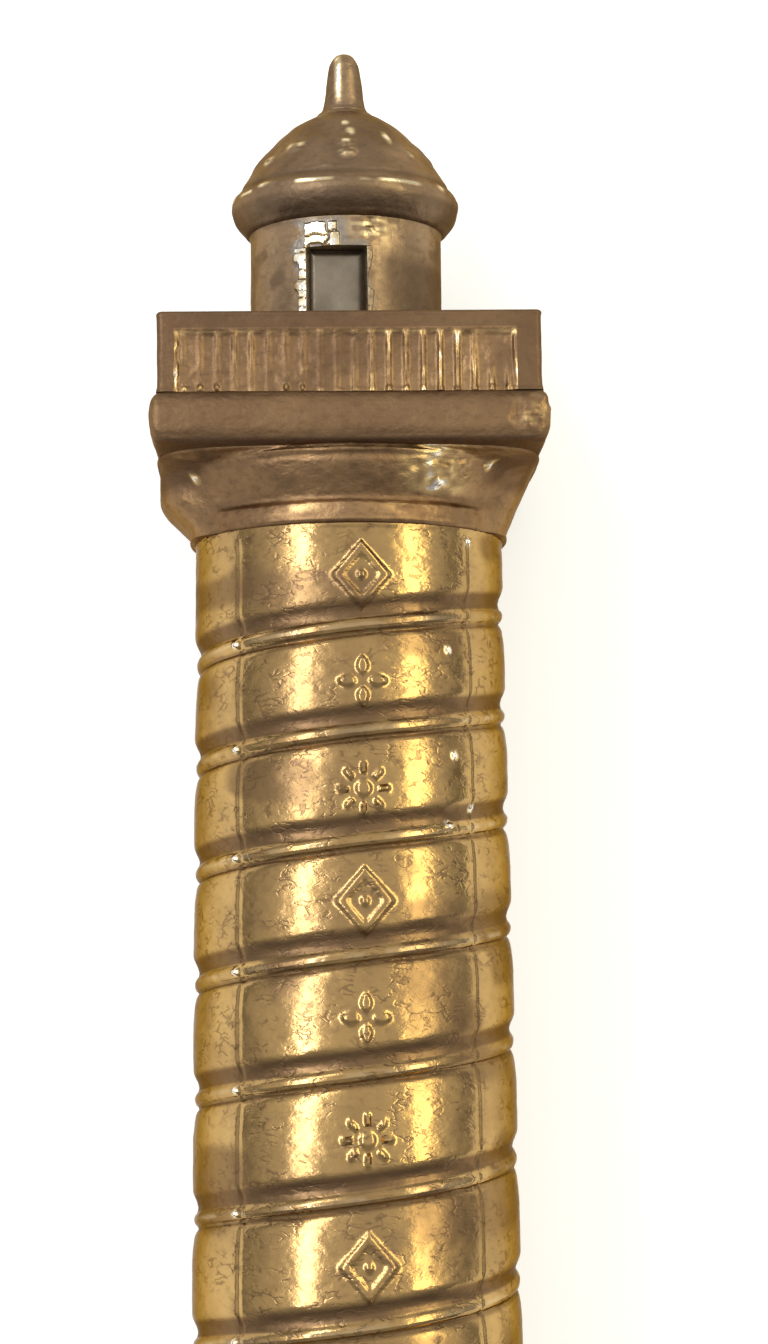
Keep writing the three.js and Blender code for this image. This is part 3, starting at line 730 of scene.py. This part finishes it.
BELL_PROFILE = [  # height above the foot, radius, and radius on the flanks, where the ring is filed off
    (0, 7.5, 7.5), (0.06, 7.62, 7.51), (0.2, 7.76, 7.53), (0.55, 7.82, 7.6), (0.9, 7.79, 7.72),
    (1.05, 7.71, 7.78), (1.15, 7.64, 7.83), (1.3, 7.66, 7.9), (1.7, 7.92, 8.1), (2.2, 8.26, 8.36),
    (2.7, 8.52, 8.6), (3.0, 8.6, 8.7), (3.15, 8.74, 8.76), (3.3, 8.78, 8.8), (3.42, 8.68, 8.8),
    (3.55, 8.6, 8.8),
]
BRIGHT_SPOTS = [(0.86, 2.9), (0.53, 1.85), (-1.02, 2.55)]  # angle round the bell and height of small lumps
SPOT_RADIUS = 8.2  # the bell's radius where they are
SPOT_SIZE = 0.34
WEB_DEPTH = 4.6  # half the depth of the two webs that carry the cornice's ends


def make_capital():
    low, high = span("capital")
    angles = even_angles(720)
    path = curve_through(BELL_PROFILE, 6)
    height = np.broadcast_to(np.clip(path[:, :1], 0, high[1] - low[1]), (len(path), len(angles)))
    angle = np.broadcast_to(angles, height.shape)
    s, c = np.sin(angle), np.cos(angle)
    flank = smooth((np.abs(s) - 0.72) / 0.2)
    bell = path[:, 1:2] * (1 - flank) + path[:, 2:3] * flank
    # The left web comes straight down before it turns in, and the right one slopes all the way.
    rise = height / (high[1] - low[1])
    left = 7.55 + 1.6 * smooth((rise + 0.05) / 0.62)
    right = 7.5 + 1.6 * rise
    depth = WEB_DEPTH + 3.2 * smooth((rise - 0.6) / 0.4) ** 2
    web = (np.abs(s / np.where(s < 0, left, right)) ** 4.5 + np.abs(c / depth) ** 4.5) ** (-1 / 4.5)
    radius = smooth_max(web, bell, 0.5)
    rings = np.stack([radius * s, low[1] + height, radius * c], axis=-1)
    crumpled = 0.08 * noise(rings, (0.5, 0.35, 0.5), 71) * smooth((height - 1.3) / 0.6)
    crumpled = crumpled * smooth((s - 0.2) / 0.25) * smooth((0.8 - s) / 0.2)
    out = crumpled + 0.2 * spots(BRIGHT_SPOTS, angle, height, SPOT_RADIUS, SPOT_SIZE)
    rings[..., 0] += out * s
    rings[..., 2] += out * c
    piece = from_rings("capital_bell", rings)
    cast_surface(piece, 1.8)
    points = points_of(piece)
    x, y, z = points.T
    height = y - low[1]
    front = smooth((z - 3) / 2)
    # Painted shade in the crease above the neck ring and at the foot, on the front.
    patina_and_shade = front * (0.3 * bump(height, 1.2, 0.3) + 0.4 * smooth((0.12 - height) / 0.12))
    # Painted shade high on the flanks and webs under the cornice, broken into blotches.
    wing = smooth((np.abs(x) - 5.6) / 1.4)
    blotches = 0.5 + 0.5 * smooth(0.5 + 1.6 * noise(points, (1.3, 1.0, 1.3), 74))
    patina_and_shade += 0.85 * np.maximum(wing, 1 - front) * smooth((height - 1.7) / 0.9) * blotches
    # Painted highlight: a pitted gold sheen on the bell's right front.
    gold_highlight = bump(x, 3.9, 2.2) * front * smooth((height - 1.3) / 0.4)
    gold_highlight = gold_highlight * (0.7 + 0.7 * noise(points, 0.4, 72))
    # Small lumps, lightened by wear and painted glints.
    lumps = spots(BRIGHT_SPOTS, np.arctan2(x, z), height, SPOT_RADIUS, SPOT_SIZE)
    # Painted highlights on the neck ring, left and right of the middle.
    ring = bump(x, -2.5, 1.6) + 0.6 * bump(x, 2.5, 1.4)
    ring = ring * front * bump(height, 0.75, 0.4) * smooth(0.5 + 1.5 * noise(points, (0.8, 0.3, 0.8), 73))
    paint(piece, "wear_and_highlight", 0.75 * gold_highlight + lumps + 0.6 * ring)
    paint(piece, "patina_and_shade", patina_and_shade)
    finish(piece, BLOCK_BRASS, "cast_brass", "capital")


# The spiral shaft

GROOVE = [  # distance down from the groove's bottom line, and depth
    (-1.85, 0), (-1.7, 0.02), (-1.5, 0.1), (-1.25, 0.22), (-1.0, 0.28), (-0.8, 0.24), (-0.66, 0.13),
    (-0.52, 0.07), (-0.32, 0.08), (-0.16, 0.15), (-0.05, 0.26), (0.03, 0.28), (0.12, 0.2), (0.3, 0.12),
    (0.6, 0.07), (1.0, 0.03), (1.5, 0),
]
FIRST_GROOVE = 5.16
FIRST_PITCH = 4.87
PITCH_GROWTH = 1.034
BEAD_DROP = -0.42  # from the groove's bottom line to the bead in it
PIP = [(-0.83, BEAD_DROP)]  # angle and drop of the small lump on each turn's bead
SEAM_ANGLES = (-0.78, 0.82)  # fine lines down the whole shaft
SHAFT_FLECKS = [  # angle round the shaft and drop from the top of small lumps
    (0.84, 0.6), (0.64, 5.8), (0.67, 10.7), (0.83, 13.1), (0.63, 13.9)]
SHAFT_RADIUS = 7.45  # at the top
SHAFT_TAPER = 0.011
EMBLEM_SHIFT = 0.45  # the marks stand a little right of the middle


def groove_drop(turns):
    """How far below the shaft's top the groove is, at the front, after a number of turns."""
    return FIRST_GROOVE + FIRST_PITCH * (PITCH_GROWTH**turns - 1) / (PITCH_GROWTH - 1)


def groove_at(angle, drop):
    """For points on the shaft: how many turns down the nearest groove is, how far below its bottom line
    they are, and its depth there."""
    ratio = 1 + (drop - FIRST_GROOVE) * (PITCH_GROWTH - 1) / FIRST_PITCH
    phase = np.log(np.maximum(ratio, 0.05)) / math.log(PITCH_GROWTH) + angle / TURN
    along = np.round(phase) - angle / TURN
    away = (phase - np.round(phase)) * FIRST_PITCH * PITCH_GROWTH**along
    distance, depth = zip(*GROOVE)
    return along, away, np.interp(away, distance, depth)


def emblem_height(u, v, design):
    """A raised mark 2.6 mm wide and 2.9 mm high. u is across and v is up from its centre."""
    stroke = 0.34
    edge = 0.26

    def line(distance):
        return smooth((stroke - np.abs(distance)) / edge)

    far = np.hypot(u, v)
    if design == 0:
        lozenge = line((np.abs(u) / 1.1 + np.abs(v) / 1.28 - 1) * 0.83)
        return np.maximum(lozenge, smooth((0.34 - far) / edge))
    angle = np.arctan2(u, v)
    if design == 1:
        petal = np.abs((angle / TURN * 4 + 0.5) % 1 - 0.5) * TURN / 4
        leaf = 0.4 * np.sin(np.clip((far - 0.12) / 1.2, 0, 1) * math.pi) - far * np.sin(petal)
        return smooth(leaf / edge) * smooth((1.36 - far) / edge)
    ray = np.abs((angle / TURN * 8 + 0.5) % 1 - 0.5) * TURN / 8 * far
    rays = smooth((0.2 - ray) / 0.12) * smooth((far - 0.62) / 0.1) * smooth((1.34 - far) / edge)
    return np.maximum(rays, smooth((0.5 - far) / edge))


def make_shaft():
    top = shaft_high[1]
    tall = top - shaft_low[1]
    rows_per_turn = 64
    # Rows follow the groove, and are closer together across it.
    share = np.linspace(0, 1, rows_per_turn, endpoint=False)
    share = share - 0.11 * np.sin(TURN * (share + 0.06))
    turns = np.arange(-2, 13)[:, None] + share[None]
    turns = np.sort(turns.ravel())
    angle, turn = np.meshgrid(front_angles(1.15, 210, 160), turns)
    drop = groove_drop(turn - angle / TURN)
    inside = (drop > 0) & (drop < tall)
    drop = np.clip(drop, 0, tall)
    along, away, depth = groove_at(angle, drop)
    begun = smooth((along + 0.55) / 0.2)
    fade = begun * smooth((drop - 0.6) / 0.9) * smooth((tall - 0.6 - drop) / 0.9)
    depth = depth * fade
    radius = SHAFT_RADIUS + SHAFT_TAPER * drop
    # One raised mark on the front of each turn's band, in three designs.
    signed = np.where(angle > math.pi, angle - TURN, angle)
    across = radius * signed - EMBLEM_SHIFT
    raised = np.zeros_like(radius)
    for index in range(-1, 9):
        upper, lower = groove_drop(index), groove_drop(index + 1)
        upper = max(upper, 0.4) if index >= 0 else 0.2
        centre = (upper + 0.72 + lower - 1.28) / 2
        height = emblem_height(across, centre - drop, (index + 1) % 3)
        raised = np.maximum(raised, height * (np.abs(drop - centre) < 2) * (np.abs(across) < 2))
    surface = radius - depth + 0.16 * raised + 0.13 * spots(PIP, signed, away, radius, 0.3) * fade
    for line in SEAM_ANGLES:
        surface = surface - 0.045 * bump(signed, line, 0.024) * smooth((drop - 0.3) / 0.5)
    surface = surface + 0.13 * spots(SHAFT_FLECKS, signed, drop, radius, 0.26)
    surface = np.where(inside, surface, radius)
    y = top - drop
    rings = np.stack([surface * np.sin(angle), y, surface * np.cos(angle)], axis=-1)
    count, width, _ = rings.shape
    index = np.arange(count * width).reshape(count, width)
    quads = grid_quads(index)
    # The last column meets the first one a turn further on.
    first = index[:-rows_per_turn, 0]
    last = index[rows_per_turn:, -1]
    joins = np.stack([last[:-1], first[:-1], first[1:], last[1:]], axis=-1)
    flat = np.ptp(rings[..., 1].reshape(-1)[np.vstack([quads, joins])], axis=1) < 1e-9
    faces = np.vstack([quads, joins])[~flat]
    piece = place("shaft_casting", rings.reshape(-1, 3), faces.tolist())
    work = bmesh.new()
    work.from_mesh(piece.data)
    bmesh.ops.remove_doubles(work, verts=work.verts, dist=0.002 * MM)
    bmesh.ops.delete(work, geom=[v for v in work.verts if not v.link_faces], context="VERTS")
    edges = [e for e in work.edges if e.is_boundary]
    bmesh.ops.holes_fill(work, edges=edges, sides=0)
    bmesh.ops.recalc_face_normals(work, faces=work.faces)
    work.to_mesh(piece.data)
    work.free()
    cast_surface(piece, 1.0)
    points = points_of(piece)
    x, y, z = points.T
    drop = top - y
    angle = np.arctan2(x, z)
    along, away, depth = groove_at(angle, drop)
    begun = smooth((along + 0.55) / 0.2)
    # Painted shade: a wide dark band on each groove's upper slope, which faces down, and a thinner one along
    # its bottom line.
    upper = smooth((depth - 0.02) / 0.1) * smooth((-0.72 - away) / 0.12)
    lower = smooth((depth - 0.12) / 0.1) * smooth((away + 0.14) / 0.08)
    patina_and_shade = np.maximum(0.85 * upper, 0.6 * lower) * smooth((drop - 0.6) / 0.9) * begun
    stains = 0.6 * smooth(2.2 * noise(points, (3.2, 2.2, 3.2), 21) - 0.5)
    paint(piece, "patina_and_shade", np.maximum(patina_and_shade, stains))
    # Painted glints on the pips and flecks, and a broken painted highlight along each bead.
    pips = spots(PIP, angle, away, SHAFT_RADIUS, 0.3) * begun
    flecks = spots(SHAFT_FLECKS, angle, drop, SHAFT_RADIUS, 0.2, reach=1.4)
    bead_highlight = 0.16 * bump(away, BEAD_DROP, 0.2) * smooth((along + 0.4) / 0.2)
    bead_highlight = bead_highlight * smooth(0.4 + 2 * noise(points, (0.9, 0.4, 0.9), 22))
    paint(piece, "wear_and_highlight", np.maximum.reduce([pips, flecks, bead_highlight]))
    finish(piece, SHAFT_BRASS, "cast_brass", "spiral_shaft")


# The base, which the photograph doesn't show

def make_base_ring():
    low, high = span("base_ring")
    radius = (high[0] - low[0]) / 2
    middle = (low[1] + high[1]) / 2
    half = (high[1] - low[1]) / 2
    bend = np.linspace(-math.pi / 2, math.pi / 2, 40)
    profile = np.stack([radius - 1.12 + 1.1 * np.cos(bend), middle + half * np.sin(bend)], axis=-1)
    profile = np.vstack([(3, low[1]), profile, (3, high[1])])
    piece = from_rings("base_moulding", round_rings(profile, even_angles(420)))
    cast_surface(piece, 1.0)
    level = np.abs(points_of(piece)[:, 1] - middle) / half
    # Painted shade towards the moulding's top and bottom edges, where it meets the parts beside it.
    paint(piece, "patina_and_shade", 0.7 * smooth((level - 0.7) / 0.3))
    finish(piece, BLOCK_BRASS, "cast_brass", "base_ring")


def make_plinth():
    low, high = span("plinth")
    half = (high[0] - low[0]) / 2
    rivets = [span(f"blade_rivet_{side}") for side in ("left", "right")]
    centres = [((a[0] + b[0]) / 2, (a[1] + b[1]) / 2) for a, b in rivets]
    count = 4 * 300
    round_edge = 0.45
    levels = np.linspace(low[1], high[1], 160)
    _, _, along, side = square_path(half, 0.7, count)
    rings = []
    for y in levels:
        to_end = min(y - low[1], high[1] - y)
        tuck = round_edge - math.sqrt(max(round_edge**2 - max(round_edge - to_end, 0) ** 2, 0))
        path, out, _, _ = square_path(half, 0.7, count)
        edge = np.minimum(half - 1.6 - np.abs(along), to_end - 1.3)
        sunk = 0.22 * smooth(edge / 0.25)
        for x, centre_y in centres:
            facing = (side % 2 == 0) * smooth((1.34 - np.hypot(np.abs(along) - abs(x), y - centre_y)) / 0.08)
            sunk = np.maximum(sunk, 0.5 * facing)
        moved = path - out * (tuck + sunk)[:, None]
        rings.append(np.stack([moved[:, 0], np.full(count, y), moved[:, 1]], axis=-1))
    piece = from_rings("plinth_block", np.array(rings))
    cast_surface(piece, 1.0)
    x, _, z = points_of(piece).T
    reach = half - np.maximum(np.abs(x), np.abs(z))
    # Painted shade and patina along the sunk panels' edges and over their floors.
    paint(piece, "patina_and_shade", 0.55 * bump(reach, 0.16, 0.14) + 0.3 * smooth((reach - 0.15) / 0.1))
    finish(piece, BLOCK_BRASS, "cast_brass", "plinth")


def make_rivet(side):
    low, high = span(f"blade_rivet_{side}")
    radius = (high[0] - low[0]) / 2
    centre = ((low[0] + high[0]) / 2, (low[1] + high[1]) / 2)
    reach = (high[2] - low[2]) / 2
    profile = [(0, reach), (0.5, reach - 0.02), (0.9, reach - 0.12), (radius, reach - 0.34)]
    profile = curve_through(profile, 6)
    profile = np.vstack([profile, profile[::-1] * (1, -1)])
    angles = even_angles(64)
    x = centre[0] + profile[:, :1] * np.sin(angles)
    y = centre[1] + profile[:, :1] * np.cos(angles)
    rings = np.stack([x, y, np.broadcast_to(profile[:, 1:], x.shape)], axis=-1)
    piece = from_rings(f"rivet_{side}", rings)
    paint(piece, "patina_and_shade", np.zeros(len(piece.data.vertices)))
    finish(piece, SHAFT_BRASS, "cast_brass", f"blade_rivet_{side}")


def outline_curve(name, outlines, thickness, bevel):
    """A flat plate with rounded edges from closed outlines: the first is its edge, the rest are holes."""
    curve = bpy.data.curves.new(name, "CURVE")
    curve.dimensions = "2D"
    curve.fill_mode = "BOTH"
    curve.extrude = (thickness / 2 - bevel) * MM
    curve.bevel_depth = bevel * MM
    curve.bevel_resolution = 4
    curve.offset = -bevel * MM
    for outline in outlines:
        spline = curve.splines.new("POLY")
        spline.points.add(len(outline) - 1)
        flat = [(x * MM, y * MM, 0, 1) for x, y in outline]
        for point, co in zip(spline.points, flat):
            point.co = co
        spline.use_cyclic_u = True
    shape = add_object(name + "_curve", curve)
    mesh = evaluated_mesh(shape)
    bpy.data.objects.remove(shape)
    return mesh


def arc(x, y, radius, start, stop, steps):
    angle = np.linspace(start, stop, steps)
    return np.stack([x + radius * np.cos(angle), y + radius * np.sin(angle)], axis=-1)


def quadratic(a, b, c, steps=8):
    t = np.linspace(0, 1, steps + 1)[1:, None]
    return (1 - t) ** 2 * np.array(a) + 2 * t * (1 - t) * np.array(b) + t**2 * np.array(c)


def make_blade():
    low, high = span("opener_blade")
    head = (high[0] - low[0]) / 2
    centre_y = low[1] + head
    waist_y = span("plinth")[0][1] - 0.1
    tang, waist, join = 5.0, 6.5, 0.6
    join_x, join_y = head * math.sin(join), centre_y + head * math.cos(join)
    edge = np.vstack([
        (-tang, high[1]), (-tang, waist_y), (-waist, waist_y),
        quadratic((-waist, waist_y), (-waist - 0.6, join_y + 1.2), (-join_x, join_y)),
        arc(0, centre_y, head, math.pi / 2 + join, math.pi / 2 - join + TURN, 220)[1:],
        quadratic((join_x, join_y), (waist + 0.6, join_y + 1.2), (waist, waist_y)),
        (tang, waist_y), (tang, high[1])])
    mouth_radius, mouth_reach, lip, lip_half = 14.2, 7.5, 2.6, 5.2
    near = centre_y + mouth_reach
    corner_x = mouth_radius * math.cos(math.asin(mouth_reach / mouth_radius) + 0.12) - 1.8
    start = 0.36
    mouth_arc = arc(0, centre_y, mouth_radius, start, math.pi - start - TURN, 160)
    mouth = np.vstack([
        (-corner_x, near), (-lip_half - 0.8, near), (-lip_half, near - lip), (lip_half, near - lip),
        (lip_half + 0.8, near), (corner_x, near),
        quadratic((corner_x, near), (corner_x + 1.6, near), mouth_arc[0]), mouth_arc[1:],
        quadratic(mouth_arc[-1], (-corner_x - 1.6, near), (-corner_x, near))[:-1]])
    mesh = outline_curve("blade_plate", [edge, mouth], thickness=2.6, bevel=0.3)
    mesh.transform(Matrix.Translation((0, 0, AXIS_Z * MM)))
    piece = add_object("blade_plate", mesh)
    clean(piece)
    # The hook stands on the lip and is joined to the plate.
    reach = high[2] - AXIS_Z
    root = 0.8  # where the hook starts, inside the plate
    wedge = [(0.05, root), (0.05, reach - 0.1), (0.12, reach), (0.3, reach), (2.1, 1.25), (2.1, root)]
    rings = []
    for x in (-lip_half + 0.3, -lip_half + 0.45, lip_half - 0.45, lip_half - 0.3):
        shrink = 0.94 if abs(x) > lip_half - 0.4 else 1
        rings.append([(x, near - lip + a * shrink, root + (b - root) * shrink) for a, b in wedge])
    hook = from_rings("hook", np.array(rings))
    union = piece.modifiers.new("join", "BOOLEAN")
    union.operation = "UNION"
    union.solver = "EXACT"
    union.object = hook
    joined = evaluated_mesh(piece)
    piece.modifiers.clear()
    piece.data = joined
    bpy.data.objects.remove(hook)
    finish(piece, BLADE_STEEL, "plated_steel", "opener_blade", sharp=30)


make_finial()
make_dome()
make_drum()
make_door()
make_parapet()
make_deck()
make_capital()
make_shaft()
make_base_ring()
make_plinth()
make_rivet("left")
make_rivet("right")
make_blade()
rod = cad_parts["tie_rod"]
rod.data.materials.clear()
rod.data.materials.append(ROD_STEEL)


# The floor, the light and the camera

def make_floor():
    size = 3.0
    mesh = bpy.data.meshes.new("floor")
    corners = [(-size, -size, 0), (size, -size, 0), (size, size, 0), (-size, size, 0)]
    mesh.from_pydata(corners, [], [(0, 1, 2, 3)])
    floor = add_object("floor", mesh)
    shader = Shader("pale_floor")
    shade = shader.remap(shader.grain(60, 2), 0.3, 0.7)
    colour = shader.mix(shade, rgb(0.83, 0.86, 0.91), rgb(0.81, 0.84, 0.89))
    shader.set("Base Color", colour)
    shader.set("Roughness", 0.9)
    shader.set("Specular IOR Level", 0.1)
    shader.set("Emission Color", rgb(1.0, 1.0, 1.0))
    shader.set("Emission Strength", 0.38)
    mesh.materials.append(shader.material)


def make_sky():
    """Soft light from all round, darker near the horizon."""
    world = bpy.data.worlds.new("soft_room")
    bpy.context.scene.world = world
    world.use_nodes = True
    nodes, links = world.node_tree.nodes, world.node_tree.links
    direction = nodes.new("ShaderNodeTexCoord")
    split = nodes.new("ShaderNodeSeparateXYZ")
    ramp = nodes.new("ShaderNodeValToRGB")
    heights = [(0.0, 0.06), (0.08, 0.16), (0.22, 0.62), (0.45, 0.8), (1.0, 0.88)]
    stops = ramp.color_ramp.elements
    for height, _ in heights[1:-1]:
        stops.new(height)
    for stop, (height, level) in zip(stops, heights):
        stop.position = height
        stop.color = rgb(level, level * 0.975, level * 0.94)
    links.new(direction.outputs["Generated"], split.inputs[0])
    links.new(split.outputs["Z"], ramp.inputs["Fac"])
    # Whoever looks at the opener stands at its foot and darkens that side of the room.
    shadow = nodes.new("ShaderNodeMapRange")
    shadow.interpolation_type = "SMOOTHSTEP"
    for key, number in (("From Min", -0.75), ("From Max", -0.05), ("To Min", 0.52), ("To Max", 1.0)):
        shadow.inputs[key].default_value = number
    links.new(split.outputs["Y"], shadow.inputs["Value"])
    links.new(ramp.outputs["Color"], nodes["Background"].inputs["Color"])
    links.new(shadow.outputs["Result"], nodes["Background"].inputs["Strength"])


def make_strip_light(name, lean, width, radiance, colour):
    """A long light over the opener, leaning left or right by an angle, facing it."""
    distance, forward, length = 0.6, 0.2, 0.75
    data = bpy.data.lights.new(name, "AREA")
    data.shape = "RECTANGLE"
    data.size = width
    data.size_y = length
    data.energy = radiance * width * length * math.pi
    data.color = colour
    light = add_object(name, data)
    angle = math.radians(lean)
    light.location = (distance * math.sin(angle), forward, distance * math.cos(angle))
    light.rotation_euler = (0, angle, 0)


def make_camera():
    data = bpy.data.cameras.new("camera")
    data.lens = 80.9
    data.sensor_width = 36
    data.clip_start = 0.01
    data.clip_end = 20
    camera = add_object("camera", data)
    column_middle = Vector((0, 0, AXIS_Z * MM))
    place_at = column_middle + Vector((-0.0022, 0.01745, 0.1452))
    target = column_middle + Vector((0.00163, 0.03185, 0))
    away = (place_at - target).normalized()
    right = Vector((0, 1, 0)).cross(away).normalized()
    up = away.cross(right)
    turned = Matrix((right, up, away)).transposed().to_4x4()
    roll = Matrix.Rotation(math.radians(-0.68), 4, "Z")
    camera.matrix_world = Matrix.Translation(place_at) @ turned @ roll
    bpy.context.scene.camera = camera


make_floor()
make_sky()
make_strip_light("left_strip", lean=-35, width=0.11, radiance=8.0, colour=(1.0, 0.99, 0.95))
make_strip_light("right_strip", lean=46, width=0.13, radiance=5.6, colour=(1.0, 0.9, 0.52))
make_camera()
bpy.context.scene.view_settings.view_transform = "Standard"

bpy.context.view_layer.update()
